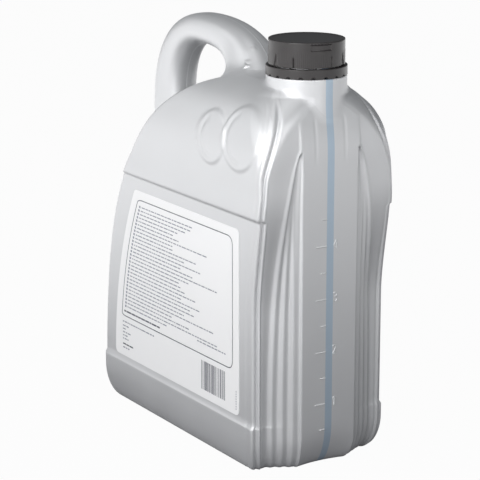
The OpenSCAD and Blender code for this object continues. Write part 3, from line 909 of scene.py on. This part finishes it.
STROKES = {
    "1": [[[-0.9, 2.0], [0.5, 3.4], [0.5, -3.4]]],
    "2": [[[-1.5, 2.0], [-1.0, 3.1], [0.2, 3.5], [1.4, 2.8], [1.4, 1.5], [0.4, -0.4],
           [-1.6, -3.3]], [[-1.6, -3.3], [1.7, -3.3]]],
    "3": [[[-1.5, 2.8], [-0.3, 3.5], [1.2, 3.0], [1.5, 1.8], [0.9, 0.6], [-0.3, 0.2],
           [1.1, -0.3], [1.7, -1.6], [1.2, -2.9], [-0.2, -3.5], [-1.6, -2.8]]],
    "4": [[[0.9, -3.4], [0.9, 3.4]], [[0.9, 3.4], [-1.7, -1.2]], [[-1.7, -1.2], [1.9, -1.2]]],
}


class BOTTLE_OT_scale(Operator):
    """Scale beside the view stripe: raised ticks at each half litre and plain numerals at
    each litre, as half-round strokes on the front panel."""

    bl_idname = "bottle.scale"
    bl_label = "Litre scale"

    def execute(self, context):
        scene = context.scene
        marks, body = sizes(scene.bottle_marks), BodyForm(sizes(scene.bottle_body))
        strokes = []
        for k in range(1, 10):
            z = marks.litre_zero + marks.litre_step * k / 2
            run = marks.tick_long if k % 2 == 0 else marks.tick_short
            start = -marks.stripe_w / 2 + 0.2
            strokes.append(ridge_stroke([[start - run, z], [start, z]], 0.6, marks.tick_rise))
            if k % 2 == 0:
                for path in STROKES[str(k // 2)]:
                    path = np.asarray(path) * [0.95, 1.0] + [marks.stripe_w / 2 + 1.9, z + 0.9]
                    strokes.append(ridge_stroke(path, 0.5, marks.tick_rise))
        parts = []
        for y, z, rise in strokes:
            front = body.front(z)
            points = np.stack([front - 0.05 + rise, y, z], axis=2)
            parts.append((points.reshape(-1, 3), ring_faces(len(y), 7, False)))
        points, faces = joined(parts)
        material = print_material("Scale_strokes", scene.bottle_finish.strokes, 0.62)
        add_piece("Litre_scale", points, faces, material, "bottle")
        return {"FINISHED"}


def corner_cut(path, radius, steps=7):
    """Closed path with each corner sharper than 25 degrees replaced by a curve."""
    out = []
    n = len(path)
    for i in range(n):
        one, at, two = path[i - 1] - path[i], path[i], path[(i + 1) % n] - path[i]
        d1, d2 = np.linalg.norm(one), np.linalg.norm(two)
        turn = np.degrees(np.arccos(np.clip(-(one @ two) / (d1 * d2), -1, 1)))
        if turn < 25:
            out.append(at[None])
            continue
        a, b = at + one / d1 * min(radius, d1 * 0.9), at + two / d2 * min(radius, d2 * 0.9)
        out.append(corner_curve(a, at, b, steps))
    return np.vstack(out)


def ribbon(path, width):
    """Closed flat ribbon of a width along a path: inner and outer points and faces."""
    d = np.roll(path, -1, axis=0) - np.roll(path, 1, axis=0)
    d = d / np.linalg.norm(d, axis=1, keepdims=True)
    side = np.stack([d[:, 1], -d[:, 0]], 1) * width / 2
    n = len(path)
    points = np.vstack([path - side, path + side])
    i = np.arange(n)
    j = (i + 1) % n
    return points, np.stack([i, j, j + n, i + n], 1)


def bars(boxes):
    """Rectangles given as (low x, low z, high x, high z) rows."""
    b = np.asarray(boxes, float)
    points = np.stack([b[:, [0, 1]], b[:, [2, 1]], b[:, [2, 3]], b[:, [0, 3]]], 1)
    return points.reshape(-1, 2), np.arange(len(b) * 4).reshape(-1, 4)


def word_bars(x0, x1, z, height, rng, low=1.6, high=6.5, gap=1.0):
    """Bars of print between two places on one line, with gaps like those of words."""
    count = int((x1 - x0) / low) + 2
    widths = rng.uniform(low, high, count)
    starts = x0 + np.concatenate([[0], np.cumsum(widths + gap)[:-1]])
    keep = starts + widths < x1
    starts, widths = starts[keep], widths[keep]
    return np.stack([starts, z - height / 2 + 0 * starts, starts + widths,
                     z + height / 2 + 0 * starts], 1)


class BOTTLE_OT_label(Operator):
    """Label print: a thin frame, lines of small print as plain bars, an address block and
    a bar field, all flat on the film."""

    bl_idname = "bottle.label"
    bl_label = "Label print"

    def execute(self, context):
        scene = context.scene
        finish = scene.bottle_finish
        marks, body = sizes(scene.bottle_marks), BodyForm(sizes(scene.bottle_body))
        film = grained_material("Label_film", finish.film, 0.38, 60, 0.015, 0.05, 0.0002,
                                Coat_Weight=0.25, Coat_Roughness=0.2)
        repaint("label", film)
        dark = print_material("Label_ink", finish.ink, 0.5)
        fine = print_material("Label_fine_ink", finish.fine_ink, 0.55)
        rng = np.random.default_rng(5)
        # the frame ends above the address block
        foot = body.s.band_h + marks.label_lift
        low = foot + 33.5
        top = foot + marks.label_h - marks.frame_in + 2
        z = np.linspace(low, top, 40)
        rear_edge = body.side_back(z) + (body.front_x - marks.label_front - marks.label_l
                                         - float(body.side_back(np.array(foot))))
        front = body.front_x - marks.label_front - marks.frame_in + 0.5
        path = np.vstack([[[front, low], [front, top]],
                          np.stack([rear_edge + marks.frame_in, z], 1)[::-1]])
        frame_part = ribbon(corner_cut(path, 7), 0.75)

        def rear(height):
            return float(np.interp(height, z, rear_edge)) + marks.frame_in

        small, heavy = [], []
        heights = np.arange(top - 5.5, low + 7.5, -marks.line_pitch)
        reach = 0.42 + 0.25 * rng.random(len(heights)) + 0.25 * (rng.random(len(heights)) > 0.72)
        for k, height in enumerate(heights):
            left = rear(height) + 4
            small.append([left, height - 0.9, left + 2.2, height + 0.9])
            span = front - 4 - left
            small.extend(word_bars(left + 4, left + span * min(reach[k], 0.97), height, 0.85, rng))
        left = rear(low + 5) + 3
        heavy.extend(word_bars(left, left + 62, low + 4.2, 1.3, rng, 2.5, 8, 0.8))
        small.extend(word_bars(front - 50, front - 6, low + 9, 0.9, rng))
        left = rear(low) + 1
        small.extend(word_bars(left, left + 52, low - 5, 1.0, rng))
        for k, run in enumerate((12, 9, 16, 8, 11)):
            small.extend(word_bars(left, left + run, low - 8.4 - 2.7 * k, 0.9, rng, 1.6, 5))
        heavy.extend(word_bars(left, left + 20, low - 23.6, 1.1, rng, 2, 6, 0.7))
        small.extend(word_bars(left, left + 12, low - 26.6, 0.9, rng, 1.6, 4))
        # bar field: upright bars of three widths
        x, stop = front - 44, front - 10
        while x < stop:
            wide = float(rng.choice([0.45, 0.7, 1.1]))
            heavy.append([x, low - 27, x + wide, low - 4.5])
            x += wide + float(rng.choice([0.5, 0.8, 1.2]))
        # a short column of strokes in the margin
        edge = front + marks.frame_in / 2
        for k in range(8):
            start = foot + 4 + 1.9 * k
            small.append([edge, start, edge + 0.8, start + 1.2])
        face = float(body.half_width(np.array(foot + 10.0))) + marks.label_t

        def upright(part, proud):
            points, faces = part
            return np.stack([points[:, 0], np.full(len(points), -face - proud), points[:, 1]],
                            1), faces

        points, faces = joined([upright(frame_part, 0.03), upright(bars(heavy), 0.03)])
        add_piece("Label_print", points, faces, dark, "bottle")
        points, faces = joined([upright(bars(small), 0.025)])
        add_piece("Label_fine_print", points, faces, fine, "bottle")
        return {"FINISHED"}


def off_nearest(degrees, one, count):
    """Signed degrees from the nearest of so many places spread evenly round a circle."""
    step = 360 / count
    return (degrees - one + step / 2) % step - step / 2


class BOTTLE_OT_closure(Operator):
    """Closure: the cap with its slots, recesses, top rim and inner thread, the tamper band
    with its windows and bridges, and the finish of the liner."""

    bl_idname = "bottle.closure"
    bl_label = "Closure"

    cap_sides, band_sides = 540, 360
    # angle of one and number round the cap of each kind of feature
    slots, fields, wedges, arrows = (-54, 6), (-11, 3), (34, 3), (60, 2)
    windows = (-24, 20)
    bridges = 9

    def execute(self, context):
        scene = context.scene
        finish, s = scene.bottle_finish, sizes(scene.bottle_neck)
        x = sizes(scene.bottle_body).body_l / 2 - s.neck_back
        black = grained_material("Closure_black", finish.black, 0.36, mottle=0.25, height=0.2)
        repaint("cap_liner", grained_material("Liner_foam", finish.liner, 0.7, 900, 0.06, 0.5))
        foot = s.neck_z + s.tamper_h + 0.7
        under = s.neck_z + s.finish_h + 0.1 + s.liner_t + 0.1
        top = under + s.cap_top_t
        inner = s.cap_r - s.cap_wall
        side = np.linspace(foot + 0.5, top - 1.4, 46)
        profile = np.vstack([
            rounded([[0.02, under], [inner, under], [inner, foot], [s.cap_r, foot],
                     [s.cap_r, foot + 0.5]], 0.35),
            np.stack([np.full(46, s.cap_r), side], 1)[1:],
            rounded([[s.cap_r, top - 1.4], [s.cap_r, top], [s.cap_r - 2.4, top],
                     [s.cap_r - 3.0, top - 0.45], [4, top - 0.45], [0.02, top - 0.45]], 0.9, 6)[1:]])
        cap = revolve(profile, self.cap_sides, x)
        t = np.linspace(0, 360, self.cap_sides, endpoint=False)[None, :]
        z = cap[..., 2]
        on_side = (np.abs(np.hypot(cap[..., 0] - x, cap[..., 1]) - s.cap_r) < 0.05)

        arc = np.radians(1) * s.cap_r
        slot = bump(off_nearest(t, *self.slots) * arc, 0, 0.45) * smooth(foot + 8, foot + 6, z)
        across = off_nearest(t, *self.fields) * arc
        wide = smooth(8.3, 7.6, np.abs(across))
        field = wide * smooth(top - 6.1, top - 5.5, z) * smooth(top - 1.5, top - 2.0, z)
        teeth = wide * (np.cos(across * 2 * np.pi / 2.4) > 0.1) * bump(z, top - 1.2, 0.5)
        wedge_h = np.clip((foot + 9 - z) / 9, 0, 1)
        beside = np.abs(off_nearest(t, *self.wedges) * arc) - 2.6 * wedge_h
        wedge = smooth(0.4, -0.2, beside) * (z < foot + 9)
        fine = 0.06 * np.cos(np.radians(t) * 120) * smooth(top - 6.6, top - 8, z)
        relief = slot + 0.7 * field + 0.35 * teeth + 0.8 * wedge - fine
        inwards = np.where(on_side, relief, 0)
        r = np.hypot(cap[..., 0] - x, cap[..., 1])
        scale = (r - inwards) / r
        cap[..., 0] = x + (cap[..., 0] - x) * scale
        cap[..., 1] = cap[..., 1] * scale
        # two soft curved bars on the top that show the way to turn
        rho = np.hypot(cap[..., 0] - x, cap[..., 1])
        arcs = bump(rho, s.cap_r - 8, 0.9) * smooth(46, 40, np.abs(off_nearest(t, *self.arrows)))
        cap[..., 2] += np.where((z > top - 0.6) & (rho < s.cap_r - 4), 0.3 * arcs, 0)
        points, faces = joined([
            (cap.reshape(-1, 3), ring_faces(*cap.shape[:2])),
            helix_ridge(x, inner + 0.1, s.finish_r + 0.7, foot + 1.6 + s.pitch / 2 + 0.9, s.pitch,
                        s.turns, 1.5)])
        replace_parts(add_piece("Screw_cap", points, faces, black, "cap", crisp=40),
                    "cap")

        outer = s.cap_r + s.tamper_proud
        band_top = s.neck_z + s.tamper_h
        wall = outer - 1.9
        rows = np.linspace(s.neck_z + 0.3, band_top - 0.9, 14)
        lip = s.finish_r + 0.9
        profile = np.vstack([
            np.stack([np.full(14, outer), rows], 1),
            rounded([[outer, band_top - 0.9], [outer, band_top], [wall - 1.4, band_top],
                     [wall - 1.4, band_top - 1], [wall, band_top - 2],
                     [wall, s.neck_z + 3.2], [lip, s.neck_z + 2.6], [lip, s.neck_z + 1.2],
                     [wall, s.neck_z + 1.2], [wall, s.neck_z + 0.05],
                     [outer - 0.3, s.neck_z + 0.05], [outer, s.neck_z + 0.3]], 0.3, 4)[1:]])
        band = revolve(profile, self.band_sides, x)
        t = np.linspace(0, 360, self.band_sides, endpoint=False)[None, :]
        # small windows in the foot of the band
        window = smooth(3.2, 2.6, np.abs(off_nearest(t, *self.windows)))
        low = band[..., 2] < s.neck_z + 1.15
        band[..., 2] += np.where(low, 1.1 * window, 0)
        parts = [(band.reshape(-1, 3), ring_faces(*band.shape[:2]))]
        for k in range(self.bridges):
            a = 2 * np.pi * (k + 0.5) / self.bridges
            u = np.array([np.cos(a), np.sin(a)])
            v = np.array([-u[1], u[0]])
            q = [u * r + v * w for r in (s.cap_r - s.cap_wall, s.cap_r) for w in (-0.6, 0.6)]
            corner = np.array([[p[0] + x, p[1], h] for h in (band_top - 0.3, band_top + 0.6)
                               for p in q])
            parts.append((corner, np.array([[0, 1, 3, 2], [4, 6, 7, 5], [0, 4, 5, 1],
                                            [2, 3, 7, 6], [0, 2, 6, 4], [1, 5, 7, 3]])))
        points, faces = joined(parts)
        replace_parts(add_piece("Tamper_band", points, faces, black, "bottle",
                              crisp=40), "tamper_band")
        return {"FINISHED"}


def soft_light(name, place, target, size, power):
    """A large rectangular lamp that is turned to a target."""
    data = bpy.data.lights.new(name, "AREA")
    data.shape = "RECTANGLE"
    data.size, data.size_y = size
    data.energy = power
    lamp = bpy.data.objects.new(name, data)
    lamp.location = place
    lamp.rotation_euler = (Vector(target) - lamp.location).to_track_quat("-Z", "Y").to_euler()
    bpy.context.scene.collection.objects.link(lamp)


class BOTTLE_OT_stage(Operator):
    """Stage: a pale floor that shows white to the camera and keeps a faint shadow, soft
    lamps and the camera."""

    bl_idname = "bottle.stage"
    bl_label = "Stage and camera"

    white = (1, 1, 1, 1)
    # name, place, target, width and height, power in watts
    lamps = (
        ("Key", (0.6, -1.2, 0.8), (0.05, 0, 0.2), (1.1, 0.9), 19),
        ("Left_wall", (-0.7, -1.0, 0.7), (-0.05, 0, 0.2), (1.1, 0.8), 4),
        ("Top", (0.1, -0.1, 1.25), (0, 0, 0.16), (0.6, 0.6), 1.5),
        ("Front_fill", (1.35, -0.05, 0.7), (0, 0, 0.16), (0.6, 0.6), 5),
    )

    def floor(self, scene):
        """A square of paper. Glossy rays see it glow, dim near the bottle's foot and brighter
        with the distance: a painted reflection that shades the bottle's lower sides."""
        side, low = 6.0, -0.0004
        mesh = bpy.data.meshes.new("Floor")
        mesh.from_pydata([(-side, -side, low), (side, -side, low), (side, side, low),
                          (-side, side, low)], [], [(0, 1, 2, 3)])
        floor = bpy.data.objects.new("Floor", mesh)
        scene.collection.objects.link(floor)
        material, tree, shader = new_material("Floor_paper", Roughness=0.9,
                                              Base_Color=(0.2, 0.2, 0.21, 1))
        ray = node(tree, "LightPath").outputs
        place = node(tree, "TexCoord").outputs["Object"]
        # Painted reflection: the floor glows for glossy rays only, from nothing near the bottle up
        # to 1.75 further out. This lays a painted reflection gradient on the silver.
        away = node(tree, "VectorMath", [(0, place), (1, (0.15, 0.1, 0))], operation="DISTANCE")
        rise = node(tree, "MapRange", [("Value", away.outputs["Value"]), ("From Min", 0.36),
                                       ("From Max", 1.0), ("To Max", 1.75)])
        mirrored = maths(tree, "MULTIPLY", rise.outputs["Result"], ray["Is Glossy Ray"])
        painted_reflection_glow = node(tree, "Emission", [("Strength", mirrored)])
        both = node(tree, "AddShader", [(0, shader.outputs["BSDF"]),
                                        (1, painted_reflection_glow.outputs["Emission"])])
        pale = maths(tree, "MULTIPLY", ray["Is Camera Ray"], 0.97)
        glow = node(tree, "Emission", [("Color", self.white)])
        mix = node(tree, "MixShader", [("Fac", pale), (1, both.outputs["Shader"]),
                                       (2, glow.outputs["Emission"])])
        feed(tree, tree.nodes["Material Output"], [("Surface", mix.outputs["Shader"])])
        mesh.materials.append(material)

    def world(self, scene):
        """Dim cool ambient light, and plain white where the camera looks past the floor."""
        world = bpy.data.worlds.new("Studio")
        world.use_nodes = True
        scene.world = world
        tree = world.node_tree
        ambient = tree.nodes["Background"]
        feed(tree, ambient, [("Color", (0.9, 0.95, 1.0, 1)), ("Strength", 0.16)])
        plain = node(tree, "Background", [("Color", self.white)])
        ray = node(tree, "LightPath").outputs
        seen = maths(tree, "MAXIMUM", ray["Is Camera Ray"], ray["Is Transmission Ray"])
        mix = node(tree, "MixShader", [("Fac", seen), (1, ambient.outputs["Background"]),
                                       (2, plain.outputs["Background"])])
        feed(tree, tree.nodes["World Output"], [("Surface", mix.outputs["Shader"])])

    def camera(self, scene):
        """A long lens, placed and turned as in the photo."""
        data = bpy.data.cameras.new("Camera")
        data.sensor_width = 36
        data.lens = 147.46
        camera = bpy.data.objects.new("Camera", data)
        view = Vector((-0.8205, 0.5146, -0.2492)).normalized()
        right = view.cross(Vector((0, 0, 1))).normalized()
        up = right.cross(view)
        camera.matrix_world = Matrix.Translation((1.2366, -0.7749, 0.5206)) @ Matrix(
            (right, up, -view)).transposed().to_4x4()
        data.clip_start, data.clip_end = 0.05, 50
        scene.collection.objects.link(camera)
        scene.camera = camera

    def execute(self, context):
        scene = context.scene
        self.floor(scene)
        self.world(scene)
        for lamp in self.lamps:
            soft_light(*lamp)
        self.camera(scene)
        scene.view_settings.view_transform = "Standard"
        return {"FINISHED"}


class BOTTLE_PT_panel(Panel):
    """Sidebar panel with one button for each group of pieces."""

    bl_label = "Fluid bottle"
    bl_idname = "BOTTLE_PT_panel"
    bl_space_type = "VIEW_3D"
    bl_region_type = "UI"
    bl_category = "Bottle"

    def draw(self, context):
        layout = self.layout
        for operator in OPERATORS:
            layout.operator(operator.bl_idname)
        for name in GROUPS:
            group = getattr(context.scene, name)
            box = layout.box()
            box.label(text=name.replace("bottle_", "").title())
            for key in group.__annotations__:
                box.prop(group, key)


OPERATORS = (BOTTLE_OT_skin, BOTTLE_OT_scale, BOTTLE_OT_label, BOTTLE_OT_closure,
             BOTTLE_OT_stage)
GROUPS = {"bottle_body": BodySizes, "bottle_grip": GripSizes, "bottle_neck": NeckSizes,
          "bottle_marks": MarkSizes, "bottle_finish": Finishes}


def register():
    for group in GROUPS.values():
        bpy.utils.register_class(group)
    for name, group in GROUPS.items():
        setattr(bpy.types.Scene, name, PointerProperty(type=group))
    for operator in OPERATORS:
        bpy.utils.register_class(operator)
    bpy.utils.register_class(BOTTLE_PT_panel)


def unregister():
    bpy.utils.unregister_class(BOTTLE_PT_panel)
    for operator in reversed(OPERATORS):
        bpy.utils.unregister_class(operator)
    for name in GROUPS:
        delattr(bpy.types.Scene, name)
    for group in reversed(GROUPS.values()):
        bpy.utils.unregister_class(group)


def main():
    """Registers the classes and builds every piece."""
    register()
    bpy.ops.bottle.stage()
    bpy.ops.bottle.skin()
    bpy.ops.bottle.scale()
    bpy.ops.bottle.label()
    bpy.ops.bottle.closure()


if __name__ == "__main__":
    main()
